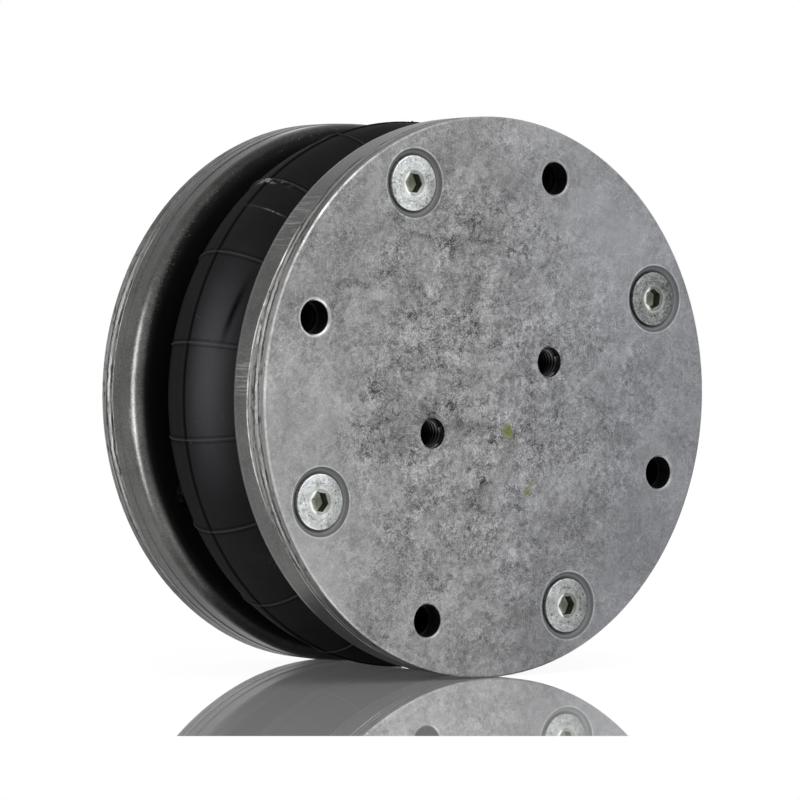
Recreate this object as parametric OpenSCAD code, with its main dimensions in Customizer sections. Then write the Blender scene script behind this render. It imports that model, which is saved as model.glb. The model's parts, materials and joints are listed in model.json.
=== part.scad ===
// Air bellows actuator: one rubber convolution clamped between two bolted ends.
// Millimetres. +Z is the stroke axis, and the origin is the centre of the
// base plate's outer face. Each end is modelled outer face down, then placed.

/* [Assembly] */
// Height over both end plates with the bellows at its free height
rest_h = 76.8; // [72:0.2:86]
// Room between the rubber and the metal that clamps it
rubber_gap = 0.2; // [0.1:0.05:0.3]

/* [End plates] */
// Pitch circle of the clamp screws and mounting holes
fix_pcd = 127; // [115:1:140]
// Width of the rim outside that circle
rim_w = 12.5; // [11:0.5:16]
// Thickness of the plate where it lies on the bead ring
plate_t = 5.2; // [5.2:0.1:7]
// Chamfer round the outer face
face_chamfer = 0.5; // [0.3:0.1:1]
// Chamfer on both edges of the seam between plate and ring
seam_chamfer = 0.3; // [0.2:0.05:0.5]
// Height of the raised pad that fills the mouth of the bead
pad_t = 4; // [2:0.5:4.5]
// Chamfer round the pad
pad_chamfer = 1.5; // [0.5:0.25:1.75]
// Diameter of the bosses behind the tapped holes
boss_d = 18; // [15:0.5:22]
// Height of those bosses above the pad
boss_h = 5; // [4:0.5:6]

/* [Mounting holes] */
// Clearance holes through the rim for the user's bolts
hole_d = 9; // [8.5:0.1:11]
// Chamfer at the mouth of every plain and tapped hole
hole_chamfer = 0.4; // [0.2:0.1:0.8]
// Metal left at the end of their thread in the bead ring, so that no bolt reaches the rubber
end_wall = 1; // [0.6:0.1:2]
// Distance between the two tapped holes of a plate
pair_spacing = 44.5; // [36:0.5:56]
// Depth of the tapped holes, which are blind to keep the air in
pair_depth = 11.5; // [8:0.5:12]
// Thread diameter of the air port in the base plate
port_d = 13.2; // [9:0.1:17]
// Diameter of the boss that the port runs through
port_boss_d = 23; // [20:0.5:25]

/* [Bead rings] */
// Thickness of a bead ring
ring_t = 11.6; // [10.5:0.1:14]
// Width of the turned band beside the seam
band_w = 3; // [1:0.5:5]
// How far the cast wall lies below that band
cast_relief = 0.15; // [0:0.05:0.4]
// Round on the outer shoulder, towards the rubber
shoulder_r = 4; // [2:0.5:5]
// Slope of the flared mouth between that shoulder and the throat
mouth_slope = 12; // [8:1:14]
// Round that the rubber rolls on, in the throat of the ring
throat_round = 5; // [4:0.25:6]
// Width of the cone that presses on the bead
seat_w = 4; // [3:0.25:5]
// Wall between that cone and the tapped holes
seat_wall = 1.9; // [1.5:0.1:3]

/* [Clamp screws] */
// Number of screws in each end, with a mounting hole between each two
screw_count = 4; // [3:1:6]
// Thread diameter of the screws and of the tapped holes
screw_d = 8; // [6:0.5:8]
// Room round the screw in its threaded hole
thread_gap = 0.1; // [0.05:0.05:0.2]
// Room round the screw in the plate
shank_gap = 0.2; // [0.1:0.05:0.4]
// Length of a screw, head and all
screw_len = 12; // [10:0.5:14]
// Diameter of the head
head_d = 15; // [13:0.5:16]
// How far the head lies under the outer face
head_drop = 0.25; // [0:0.05:0.7]
// Mouth of the countersink
sink_d = 18.5; // [17:0.5:18.5]
// Room between the head's cone and the countersink
seat_gap = 0.08; // [0.02:0.01:0.2]
// Hexagon socket, across its flats
socket_af = 5; // [4:0.5:6]
// Depth of the socket
socket_depth = 3; // [2:0.25:3.5]

/* [Bellows] */
// How far the rubber's equator lies inside the edge of the plates
equator_inset = 0.6; // [0.4:0.1:3]
// Turn of the big arc from the equator to the straight flank
flank_angle = 55.6; // [52:0.1:60]
// Thickness of the outer rubber cover
cover_t = 1.4; // [1:0.1:2]
// Thickness of one ply of cord
ply_t = 0.7; // [0.5:0.1:1]
// Thickness of the airtight liner
liner_t = 1.3; // [1:0.1:2]
// Bond line between two layers
bond_gap = 0.1; // [0.05:0.01:0.15]
// Width of the bead from the ring's throat in to its toe
bead_w = 7.9; // [7.5:0.1:9.5]
// Height of the bead's toe
toe_h = 2; // [1:0.25:3]
// Diameter of the bead wire
wire_d = 2; // [1.4:0.1:2.1]
// How far the wire lies outside the throat
wire_offset = 0.1; // [0:0.05:0.2]
// Number of mould ribs that run from end to end
rib_count = 18; // [6:1:24]
// Angle of the first of them from +X
rib_phase = 3.7; // [0:0.1:20]
// Width of a mould rib at the rubber's equator
rib_w = 0.9; // [0.6:0.1:1.5]
// Height of a mould rib
rib_h = 0.35; // [0.2:0.05:0.6]

/* [Hidden] */

$fn = 96;
// Overlap of a cutting tool past the face that it opens
cut = 1;

// Radii of one end, from the rim inwards
fix_r = fix_pcd / 2;
plate_r = fix_r + rim_w;
thread_r = screw_d / 2 + thread_gap;
shank_r = screw_d / 2 + shank_gap;
seat_r = fix_r - thread_r - seat_wall;
throat_r = seat_r - seat_w;
toe_r = throat_r - bead_w;
pad_r = toe_r - rubber_gap;
screw_step = 360 / screw_count;

// Depths of one end, from its outer face
pad_end = plate_t + pad_t;
boss_end = pad_end + boss_h;
sink_depth = sink_d / 2 - shank_r;
head_land = (sink_d - head_d) / 2 - head_drop - seat_gap;
head_cone = (head_d - screw_d) / 2;

// Centres of the ring's two rounds and the normal of the mouth between them, in
// [radius, depth below the seam]. The mouth is the line that touches both rounds.
cast_r = plate_r - cast_relief;
crest_c = [cast_r - shoulder_r, ring_t - shoulder_r];
mouth_n = [-sin(mouth_slope), cos(mouth_slope)];
throat_mid = throat_r + throat_round;
lip_t = crest_c[1]
    - (throat_round - shoulder_r + (crest_c[0] - throat_mid) * sin(mouth_slope)) / cos(mouth_slope);
lip_c = [throat_mid, lip_t];

// Depth of the mouth below the seam where a mounting hole comes nearest to it
mouth_start = lip_c + throat_round * mouth_n;
mouth_depth = mouth_start[1] + (fix_r - thread_r - mouth_start[0]) * tan(mouth_slope);

// Meridian of the rubber, in [radius, height above the equator]. It leaves the
// throat round the ring's own centre, runs straight and closes in one big arc.
bead_top = rest_h / 2 - plate_t - rubber_gap;
throat_c = [throat_mid, rest_h / 2 - plate_t - lip_t];
wrap_r = throat_round + rubber_gap;
equator_r = plate_r - equator_inset;
bulge_r = (throat_c[1] * sin(flank_angle) + (throat_c[0] - equator_r) * cos(flank_angle) - wrap_r)
    / (1 - cos(flank_angle));
bulge_c = [equator_r - bulge_r, 0];
flank_n = [cos(flank_angle), sin(flank_angle)];

// The ribs end where the flank has come within their height of the ring's round
rib_run = sqrt(pow(wrap_r + rib_h, 2) - pow(wrap_r, 2));
rib_top = throat_c[1] - wrap_r * flank_n[1] - rib_run * flank_n[0];

// Depth of each layer's outer side below the rubber's surface
outer_ply_depth = cover_t + bond_gap;
inner_ply_depth = outer_ply_depth + ply_t + bond_gap;
liner_depth = inner_ply_depth + ply_t + bond_gap;
rubber_t = liner_depth + liner_t;

// Centre of the bead wire's section
wire_c = [throat_r + wire_offset, bead_top - wire_d / 2];

plate_colour = [0.60, 0.61, 0.62];
ring_colour = [0.52, 0.53, 0.53];
screw_colour = [0.72, 0.74, 0.70];
wire_colour = [0.55, 0.50, 0.38];
rubber_colour = [0.10, 0.10, 0.11];
cord_colour = [0.72, 0.66, 0.52];

module at_top() {
    translate([0, 0, rest_h]) rotate([180, 0, 0]) children();
}

module at_screws() {
    for (i = [0:screw_count - 1]) rotate(i * screw_step) translate([fix_r, 0, 0]) children();
}

module at_mounting_holes() {
    rotate(screw_step / 2) at_screws() children();
}

module at_tapped_pair() {
    for (side = [-1, 1]) translate([side * pair_spacing / 2, 0, 0]) children();
}

// A hole up from the outer face with a chamfered mouth
module faced_hole(r, depth) {
    translate([0, 0, -cut]) cylinder(r = r, h = depth + cut);
    cylinder(r1 = r + hole_chamfer, r2 = r, h = hole_chamfer);
}

module countersunk_hole() {
    translate([0, 0, -cut]) cylinder(r = shank_r, h = plate_t + 2 * cut);
    cylinder(r1 = sink_d / 2, r2 = shank_r, h = sink_depth);
}

module plate_section() {
    polygon([
        [0, 0], [plate_r - face_chamfer, 0], [plate_r, face_chamfer],
        [plate_r, plate_t - seam_chamfer], [plate_r - seam_chamfer, plate_t],
        [pad_r, plate_t], [pad_r, pad_end - pad_chamfer], [pad_r - pad_chamfer, pad_end], [0, pad_end]
    ]);
}

// Cast plate with a raised pad and two bosses inside, drilled from its outer face
module end_plate() {
    difference() {
        union() {
            rotate_extrude() plate_section();
            at_tapped_pair() translate([0, 0, plate_t]) cylinder(d = boss_d, h = boss_end - plate_t);
        }
        at_screws() countersunk_hole();
        at_mounting_holes() faced_hole(hole_d / 2, plate_t + cut);
        at_tapped_pair() faced_hole(thread_r, pair_depth);
    }
}

// Section of a bead ring, from the seam at 0: a cast wall, a flared mouth and the bead's cone
module ring_section() {
    difference() {
        union() {
            translate(lip_c) circle(throat_round);
            translate(crest_c) circle(shoulder_r);
            polygon([
                [throat_mid, 0], [plate_r - seam_chamfer, 0], [plate_r, seam_chamfer], [plate_r, band_w],
                [cast_r, band_w + cast_relief], [cast_r, crest_c[1]], crest_c,
                crest_c + shoulder_r * mouth_n, mouth_start, lip_c
            ]);
            polygon([[seat_r, 0], [throat_mid, 0], lip_c, [throat_r, lip_t]]);
        }
        translate([0, -2 * throat_round]) square([plate_r, 2 * throat_round]);
        polygon([[0, 0], [seat_r, 0], [throat_r, lip_t], [0, lip_t]]);
    }
}

module bead_ring() {
    translate([0, 0, plate_t]) difference() {
        rotate_extrude() ring_section();
        at_screws() translate([0, 0, -cut]) cylinder(r = thread_r, h = ring_t + 2 * cut);
        at_mounting_holes() translate([0, 0, -cut]) cylinder(r = thread_r, h = cut + mouth_depth - end_wall);
    }
}

module bead_wire() {
    translate([0, 0, rest_h / 2 - wire_c[1]]) rotate_extrude() translate([wire_c[0], 0]) circle(d = wire_d);
}

// Countersunk socket screw in place number i, its head just under the outer face
module clamp_screw(i) {
    tip_chamfer = screw_d / 8;
    rotate((i - 1) * screw_step) translate([fix_r, 0, head_drop]) difference() {
        rotate_extrude() polygon([
            [0, 0], [head_d / 2, 0], [head_d / 2, head_land], [screw_d / 2, head_land + head_cone],
            [screw_d / 2, screw_len - tip_chamfer], [screw_d / 2 - tip_chamfer, screw_len], [0, screw_len]
        ]);
        translate([0, 0, -cut]) cylinder(d = socket_af / cos(30), h = socket_depth + cut, $fn = 6);
    }
}

module at_mid_height() {
    translate([0, 0, rest_h / 2]) children();
}

// All that lies inside the rubber at a depth below its surface, down to the axis. The
// neck is the line from the throat to the end of the bead.
module inside(depth, neck) {
    throat = throat_c - [wrap_r + depth, 0];
    reach = wrap_r + depth + cut;
    for (end = [0, 1]) mirror([0, end]) difference() {
        union() {
            translate(bulge_c) circle(bulge_r - depth);
            polygon(concat(
                [[0, 0], bulge_c, bulge_c + (bulge_r - depth) * flank_n],
                [throat_c - (wrap_r + depth) * flank_n, throat_c, throat],
                neck, [[0, neck[len(neck) - 1][1]]]));
        }
        translate(throat_c) difference() {
            circle(wrap_r + depth);
            translate([-reach, 0]) square(2 * reach);
        }
    }
}

// A straight neck at a depth, which ends a little past the bead when it is a cutter
function neck_at(depth, extra = 0) = [[throat_r - rubber_gap - depth, bead_top + extra]];

// One layer of the rubber, from a depth and with a thickness, cut off square at the beads
module plain_layer(depth, thickness) {
    rotate_extrude() difference() {
        inside(depth, neck_at(depth));
        inside(depth + thickness, neck_at(depth + thickness, cut));
    }
}

// The cover fills the ring's cone, has a rib round its equator and holds the bead wires
module cover_section() {
    groove_r = wire_d / 2 + rubber_gap;
    difference() {
        union() {
            inside(0, [[seat_r - 2 * rubber_gap, bead_top]]);
            translate([equator_r, 0]) polygon([
                [-rib_h, -rib_w / 2], [rib_h, -rib_w / 4], [rib_h, rib_w / 4], [-rib_h, rib_w / 2]
            ]);
        }
        inside(cover_t, neck_at(cover_t, cut));
        for (end = [0, 1]) mirror([0, end]) {
            translate(wire_c) circle(groove_r);
            translate([wire_c[0] - groove_r, wire_c[1]]) square([2 * groove_r, wire_d]);
        }
    }
}

// A mould rib, half sunk in the cover, that follows its surface from end to end
module mould_rib() {
    rib_turn = rib_w / equator_r * 180 / PI;
    rotate(-rib_turn / 2) rotate_extrude(angle = rib_turn) intersection() {
        difference() {
            inside(-rib_h, neck_at(-rib_h));
            inside(cover_t / 2, neck_at(cover_t / 2, cut));
        }
        translate([0, -rib_top]) square([plate_r, 2 * rib_top]);
    }
}

module base_plate() {
    color(plate_colour) difference() {
        union() {
            end_plate();
            translate([0, 0, plate_t]) cylinder(d = port_boss_d, h = boss_end - plate_t);
        }
        faced_hole(port_d / 2, boss_end + cut);
    }
}

module base_bead_ring() {
    color(ring_colour) bead_ring();
}

module base_bead_wire() {
    color(wire_colour) bead_wire();
}

module base_clamp_screw(i) {
    color(screw_colour) clamp_screw(i);
}

// The liner also fills the inside of each bead, down to its toe
module inner_liner() {
    color(rubber_colour) at_mid_height() rotate_extrude() difference() {
        inside(liner_depth, neck_at(liner_depth));
        inside(rubber_t, [[toe_r, bead_top - toe_h], [toe_r, bead_top + cut]]);
    }
}

module inner_cord_ply() {
    color(cord_colour) at_mid_height() plain_layer(inner_ply_depth, ply_t);
}

module outer_cord_ply() {
    color(cord_colour) at_mid_height() plain_layer(outer_ply_depth, ply_t);
}

module bellows_cover() {
    color(rubber_colour) at_mid_height() {
        rotate_extrude() cover_section();
        for (i = [0:rib_count - 1]) rotate(rib_phase + i * 360 / rib_count) mould_rib();
    }
}

module top_plate() {
    color(plate_colour) at_top() end_plate();
}

module top_bead_ring() {
    color(ring_colour) at_top() bead_ring();
}

module top_bead_wire() {
    color(wire_colour) at_top() bead_wire();
}

module top_clamp_screw(i) {
    color(screw_colour) at_top() clamp_screw(i);
}

base_plate();
base_bead_ring();
base_bead_wire();
base_clamp_screw(1);  // base_clamp_screw_1
base_clamp_screw(2);  // base_clamp_screw_2
base_clamp_screw(3);  // base_clamp_screw_3
base_clamp_screw(4);  // base_clamp_screw_4
inner_liner();
inner_cord_ply();
outer_cord_ply();
bellows_cover();
top_plate();
top_bead_ring();
top_bead_wire();
top_clamp_screw(1);  // top_clamp_screw_1
top_clamp_screw(2);  // top_clamp_screw_2
top_clamp_screw(3);  // top_clamp_screw_3
top_clamp_screw(4);  // top_clamp_screw_4
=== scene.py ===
# %% [markdown]
# # An air bellows actuator
# A rubber bellows is clamped between two round aluminium ends. Air pushes the ends apart. The metal
# solids come ready made from the imported part, so this lesson dresses them: it models the rubber again
# in four bands, cuts the threads, paints every surface and lights the whole like a catalogue shot.

# %% Load the imported part
import json
import math

import bpy
from mathutils import Matrix, Vector


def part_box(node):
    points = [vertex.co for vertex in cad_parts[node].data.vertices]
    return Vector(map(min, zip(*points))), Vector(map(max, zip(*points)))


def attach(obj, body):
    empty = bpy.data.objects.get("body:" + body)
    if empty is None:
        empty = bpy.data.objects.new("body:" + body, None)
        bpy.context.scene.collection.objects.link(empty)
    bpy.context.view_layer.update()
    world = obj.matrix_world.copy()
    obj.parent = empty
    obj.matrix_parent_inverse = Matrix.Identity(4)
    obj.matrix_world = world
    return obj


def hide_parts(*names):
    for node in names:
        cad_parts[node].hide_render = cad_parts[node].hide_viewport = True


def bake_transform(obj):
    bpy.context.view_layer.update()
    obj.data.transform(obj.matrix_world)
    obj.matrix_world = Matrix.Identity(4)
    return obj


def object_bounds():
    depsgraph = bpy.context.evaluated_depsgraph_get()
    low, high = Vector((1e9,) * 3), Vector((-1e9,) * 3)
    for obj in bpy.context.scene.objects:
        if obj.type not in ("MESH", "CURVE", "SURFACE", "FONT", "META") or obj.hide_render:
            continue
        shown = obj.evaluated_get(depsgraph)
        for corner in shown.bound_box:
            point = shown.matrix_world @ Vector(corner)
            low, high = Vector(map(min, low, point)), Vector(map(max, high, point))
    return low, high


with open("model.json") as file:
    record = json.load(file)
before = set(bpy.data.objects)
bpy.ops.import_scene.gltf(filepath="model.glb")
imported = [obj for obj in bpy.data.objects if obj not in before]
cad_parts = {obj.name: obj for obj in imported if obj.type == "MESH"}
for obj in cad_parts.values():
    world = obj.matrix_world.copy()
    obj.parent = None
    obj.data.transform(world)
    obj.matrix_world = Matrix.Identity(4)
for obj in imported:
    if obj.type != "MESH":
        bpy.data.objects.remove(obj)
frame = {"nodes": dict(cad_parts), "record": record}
cad_low, cad_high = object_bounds()
MM = 0.001
height = cad_high.z
plate_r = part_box("top_plate")[1].x
mounts = {mount["name"]: mount["dims"] for mount in frame["record"]["mounts"]}
fix_r = mounts["top_rim_holes"]["pcd_mm"] / 2 * MM
pair_x = mounts["top_tapped_pair"]["spacing_x_mm"] / 2 * MM
print(f"height {height / MM:.1f} mm, plate radius {plate_r / MM:.1f} mm, {len(frame['nodes'])} solids")

# %% [markdown]
# ## Camera
# The photograph was taken from far away with a long lens, with the part lying on its rim. Here the part
# stands upright, so the camera is turned instead. The photograph's right and up are written as directions
# of the part: its two tapped holes lean 25 degrees up from the picture's horizon.

# %% Camera
PAIR_LEAN = math.radians(25.18)
CAMERA_ROLL = math.radians(-0.39)
CAMERA_LENS = 192.96
photo_right = Vector((math.cos(PAIR_LEAN), -math.sin(PAIR_LEAN), 0))
photo_up = Vector((math.sin(PAIR_LEAN), math.cos(PAIR_LEAN), 0))
stroke = Vector((0, 0, 1))


def from_face(right, up, out):
    """A point given in millimetres from the centre of the top face, as the photograph sees it."""
    return (photo_right * right + photo_up * up + stroke * out) * MM + stroke * height


def looking(eye, aim, up, roll=0.0):
    """The matrix of a camera or lamp at a point, aimed at another, with a direction that stays up."""
    ahead = (aim - eye).normalized()
    right = ahead.cross(up).normalized()
    above = right.cross(ahead) * math.cos(roll) + right * math.sin(roll)
    right = ahead.cross(above)
    turned = Matrix((right, above, -ahead)).transposed().to_4x4()
    return Matrix.Translation(eye) @ turned


eye = from_face(-725.8, 26.8, 907.0)
aim = from_face(-1.39, -1.59, -39.42)
bpy.ops.object.select_all(action="DESELECT")
bpy.ops.object.camera_add()
camera = bpy.context.object
camera.name = "photo_camera"
camera.matrix_world = looking(eye, aim, photo_up, CAMERA_ROLL)
camera.data.lens = CAMERA_LENS
camera.data.clip_end = 20
bpy.context.scene.camera = camera
bpy.context.scene.view_settings.view_transform = "Standard"
print(f"camera {(eye - aim).length:.2f} m away")

# %% [markdown]
# ## Sums on sockets
# Most finishes below are small sums of noise, distances and masks. Wiring each sum by hand is slow to
# read, so one class wraps a socket: Python's own operators add Math nodes, and `node` adds any other.


# %% A wire that can be calculated with
class Wire:
    """One output socket of a node tree, or the tree alone when there is no socket yet."""

    def __init__(self, tree, socket=None):
        self.tree = tree
        self.socket = socket

    def node(self, kind, settings=None, sockets=None, out=0):
        """A new node: its settings first, then the values or wires of its input sockets."""
        made = self.tree.nodes.new(kind)
        for name, value in (settings or {}).items():
            setattr(made, name, value)
        for name, value in (sockets or {}).items():
            if isinstance(value, Wire):
                self.tree.links.new(value.socket, made.inputs[name])
            else:
                made.inputs[name].default_value = value
        return Wire(self.tree, made.outputs[out])

    def math(self, operation, first, second=0.0):
        return self.node("ShaderNodeMath", {"operation": operation}, {0: first, 1: second})

    def __add__(self, other):
        return self.math("ADD", self, other)

    def __sub__(self, other):
        return self.math("SUBTRACT", self, other)

    def __mul__(self, other):
        return self.math("MULTIPLY", self, other)

    def __truediv__(self, other):
        return self.math("DIVIDE", self, other)

    def __rsub__(self, other):
        return self.math("SUBTRACT", other, self)

    def __pow__(self, other):
        return self.math("POWER", self, other)

    def __abs__(self):
        return self.math("ABSOLUTE", self)

    __radd__ = __add__
    __rmul__ = __mul__


def least(first, second):
    return first.math("MINIMUM", first, second)


def most(first, second):
    return first.math("MAXIMUM", first, second)


def rise(value, start, end):
    """A mask that goes smoothly from 0 at one value to 1 at another."""
    sockets = {"Value": value, "From Min": start, "From Max": end}
    return value.node("ShaderNodeMapRange", {"interpolation_type": "SMOOTHSTEP"}, sockets)


def near(value, centre, width):
    """A mask that is 1 at one value and fades to 0 at a width from it."""
    return rise(abs(value - centre), width, 0.0)


def grain(at, size, detail=2.0, roughness=0.5, distortion=0.0):
    """Noise from 0 to 1 whose largest features have about this size, in metres."""
    sockets = {"Vector": at, "Scale": 1 / size, "Detail": detail}
    sockets.update({"Roughness": roughness, "Distortion": distortion})
    return at.node("ShaderNodeTexNoise", {"noise_dimensions": "3D"}, sockets)


def stretched(at, turn, sizes):
    """Coordinates turned about the stroke axis and divided by a size along each of their axes."""
    sockets = {"Vector": at, "Rotation": (0, 0, turn), "Scale": sizes}
    return at.node("ShaderNodeMapping", {"vector_type": "TEXTURE"}, sockets)


def mixed(first, second, share):
    """A colour between two colours."""
    return share.node("ShaderNodeMix", {"data_type": "RGBA"}, {0: share, 6: first, 7: second}, out=2)


def grey(value, tint=(1.0, 1.0, 1.0)):
    """A colour of this brightness with a slight tint."""
    sockets = {"Red": value * tint[0], "Green": value * tint[1], "Blue": value * tint[2]}
    return value.node("ShaderNodeCombineColor", {"mode": "RGB"}, sockets)


def tinted(value, tint):
    """A colour of this brightness in a tint that changes over the surface."""
    settings = {"data_type": "RGBA", "blend_type": "MULTIPLY"}
    return value.node("ShaderNodeMix", settings, {0: 1.0, 6: grey(value), 7: tint}, out=2)


def apart(x, y, centre):
    """Distance from a point of the plane across the stroke axis."""
    across, along = x - centre[0], y - centre[1]
    return (across * across + along * along) ** 0.5


print("wires ready")

# %% [markdown]
# ## Where a point lies on the part
# The part is round, so its finishes follow three measures: the radius from the stroke axis, the angle
# round it, and the depth below the nearer outer face. The four-fold pattern of screws and holes is found
# by folding x and y to their positive sides, so that one distance serves for all four.


# %% Measures of the round part
REST_PLACE = "rest_place"


class Place:
    """Coordinates of a material, and the measures of the part that its finish follows."""

    def __init__(self, material, bends=False):
        self.tree = Wire(material.node_tree)
        if bends:
            self.at = self.tree.node("ShaderNodeAttribute", {"attribute_name": REST_PLACE}, out="Vector")
        else:
            self.at = self.tree.node("ShaderNodeTexCoord", out="Object")
        split = {"Vector": self.at}
        axes = [self.tree.node("ShaderNodeSeparateXYZ", None, split, axis) for axis in "XYZ"]
        self.x, self.y, self.z = axes
        self.r = (self.x * self.x + self.y * self.y) ** 0.5
        self.angle = self.x.math("ARCTAN2", self.y, self.x)
        self.depth = height / 2 - abs(self.z - height / 2)

    def to_screw(self):
        """Distance from the axis of the nearest clamp screw."""
        x, y = abs(self.x), abs(self.y)
        return least(apart(x, y, (fix_r, 0)), apart(x, y, (0, fix_r)))

    def from_screw(self):
        """How far right of the nearest clamp screw's axis a point lies, as the photograph sees it."""
        on_x = rise(abs(self.x) - abs(self.y), -0.1 * MM, 0.1 * MM)
        across = self.x - self.x.math("SIGN", self.x) * on_x * fix_r
        along = self.y - self.y.math("SIGN", self.y) * (1 - on_x) * fix_r
        return across * photo_right.x + along * photo_right.y

    def above_tapped(self):
        """How far above the nearer tapped hole's axis a point lies, as the photograph sees it."""
        across = self.x - self.x.math("SIGN", self.x) * pair_x
        return across * photo_up.x + self.y * photo_up.y

    def sideways(self):
        """How far right of the stroke axis a point lies, as the photograph sees it."""
        return self.x * photo_right.x + self.y * photo_right.y

    def upwards(self):
        """How far above the stroke axis a point lies, as the photograph sees it."""
        return self.x * photo_up.x + self.y * photo_up.y

    def to_hole(self):
        """Distance from the axis of the nearest mounting hole of the rim."""
        side = fix_r * math.sqrt(0.5)
        return apart(abs(self.x), abs(self.y), (side, side))

    def to_tapped(self):
        """Distance from the axis of the nearer hole of the tapped pair."""
        return apart(abs(self.x), self.y, (pair_x, 0))

    def around(self, size_round, size_deep):
        """Noise coordinates that follow the rim: one size round it and another across it."""
        cosine = self.x / self.r * (plate_r / size_round)
        sine = self.y / self.r * (plate_r / size_round)
        sockets = {"X": cosine, "Y": sine, "Z": self.z / size_deep}
        return self.tree.node("ShaderNodeCombineXYZ", None, sockets)


def new_finish(name, bends=False):
    """A material with its place measures and its main shader."""
    material = bpy.data.materials.new(name)
    material.use_nodes = True
    return material, Place(material, bends), material.node_tree.nodes["Principled BSDF"]


def keep_rest_places(piece):
    """Stores where each vertex lies at rest, so that the finish stays on a piece that bends."""
    places = piece.data.attributes.new(REST_PLACE, "FLOAT_VECTOR", "POINT")
    for vertex, stored in zip(piece.data.vertices, places.data):
        stored.vector = vertex.co


def connect(place, shader, **links):
    """Wires or constants into the shader's sockets, which are named with underscores here."""
    for name, value in links.items():
        socket = shader.inputs[name.replace("_", " ")]
        if isinstance(value, Wire):
            place.tree.tree.links.new(value.socket, socket)
        else:
            socket.default_value = value


def bumped(place, height_wire, distance, strength=1.0):
    """A normal that follows a height, in metres when the height runs from 0 to 1."""
    sockets = {"Height": height_wire, "Distance": distance, "Strength": strength}
    return place.tree.node("ShaderNodeBump", None, sockets, out="Normal")


print("place measures ready")

# %% [markdown]
# ## Cast and faced aluminium plate
# The face of the plate is a raw casting that was faced once and then handled for years: grey, with
# cloudy darker stains, fine speckle and short scratches. Noise with equal strength from big to small
# sizes gives that mottle. Painted light makes the face lighter at the left and darker towards the lower
# right. Edges and hole rims are rubbed bright and carry painted highlights at the left; the countersinks
# stay dark, and the bores are painted dark as shade.

# %% Plate finish
PAINT_SPECKS = [((5.3, -9.2), 2.4), ((12.1, -25.8), 1.5), ((14.0, -23.4), 1.0)]
SCRATCH_TURNS = (0.4, 1.1, 1.9, 2.7)
POLISHED_AT = (36 * MM, 34 * MM)
SMEARED_AT = (-16 * MM, 22 * MM)
COUNTERSINK_R = 9.4 * MM
HOLE_RIM_R = 4.9 * MM
TAPPED_RIM_R = 4.3 * MM


def pushed_about(at, scale, detail, reach):
    """Coordinates that noise pushes about, so that borders drawn with them are ragged."""
    sockets = {"Vector": at, "Scale": scale, "Detail": detail}
    wander = at.node("ShaderNodeTexNoise", None, sockets, out="Color")
    pushed = at.node("ShaderNodeVectorMath", {"operation": "SCALE"}, {0: wander, "Scale": reach})
    return at.node("ShaderNodeVectorMath", {"operation": "ADD"}, {0: at, 1: pushed})


def flakes(at, size):
    """Patches with crisp ragged borders, each with a grey of its own from 0 to 1."""
    ragged = pushed_about(at, 2 / size, 4.0, size * 1.6)
    cells = at.node("ShaderNodeTexVoronoi", None, {"Vector": ragged, "Scale": 1 / size}, out="Color")
    return at.node("ShaderNodeSeparateColor", None, {0: cells})


def cracks(at, size, width):
    """Thin wandering lines between large cells, broken up so that only short pieces are left."""
    ragged = pushed_about(at, 3 / size, 5.0, size * 0.8)
    to_edge = {"feature": "DISTANCE_TO_EDGE"}
    border = at.node("ShaderNodeTexVoronoi", to_edge, {"Vector": ragged, "Scale": 1 / size})
    return rise(border, width / size, 0.0) * rise(grain(at, size * 0.7), 0.52, 0.6)


def scratches(at, length, width, threshold):
    """Short straight hairlines in several directions."""
    found = None
    for turn in SCRATCH_TURNS:
        lines = grain(stretched(at, turn, (width, length, 40 * MM)), 1.0, detail=1)
        mask = rise(lines, threshold, threshold + 0.05)
        found = mask if found is None else most(found, mask)
    return found


def edge_tone(place):
    """Brightness of the turned wall of the rim: streaks along it, a scored line, chips, the dark seam,
    painted highlight lines and painted shade towards the top and bottom.
    """
    streaks = grain(place.around(20 * MM, 0.3 * MM), 1.0, detail=5, roughness=0.75)
    nicks = grain(place.around(2.2 * MM, 2 * MM), 1.0, detail=3, roughness=0.7) - 0.5
    ragged = place.depth + nicks * 1.1 * MM
    outer = ragged + (grain(place.around(11 * MM, 1.0), 1.0, detail=4) - 0.5) * 1.0 * MM
    inner = ragged + (grain(place.around(17 * MM, 1.0), 1.0, detail=4) - 0.5) * 2.2 * MM
    broken = 0.4 + rise(grain(place.around(5 * MM, 3 * MM), 1.0, detail=4), 0.42, 0.55) * 0.6
    chips = rise(grain(place.around(2.2 * MM, 0.9 * MM), 1.0, detail=3), 0.58, 0.64)
    base_side = rise(place.z, height / 2, height / 2 - MM)
    upwards = place.upwards()
    # On the base side the seam line and the painted highlight lines fade above and below the middle.
    lines_fade = base_side * rise(abs(upwards), 15 * MM, 40 * MM)
    inner_line = near(inner, 4.8 * MM, 0.8 * MM) * (1 - lines_fade * 0.85)
    dark = most(near(outer, 2.6 * MM, 0.55 * MM), inner_line) * broken
    # Painted highlights: bright lines beside the scored line and the seam, stronger on the base side.
    highlight_lines = most(near(outer, 3.4 * MM, 0.5 * MM), near(inner, 3.8 * MM, 0.5 * MM) * (1 + base_side))
    highlight_lines = highlight_lines * broken * (1 - lines_fade * 0.7)
    # Painted shade: darker towards the top and towards the bottom, more so at the bottom of the base side.
    shaded = 1 - rise(upwards, 30 * MM, 52 * MM) * 0.52 - rise(upwards, -15 * MM, -35 * MM) * 0.2
    shaded = shaded - base_side * rise(upwards, -30 * MM, -55 * MM) * 0.25
    tone = (0.185 + (streaks - 0.5) * 0.8 - chips * 0.12 + highlight_lines * streaks * 0.4) * shaded
    return most(tone * (1 - dark * 0.93), 0.012)


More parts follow.
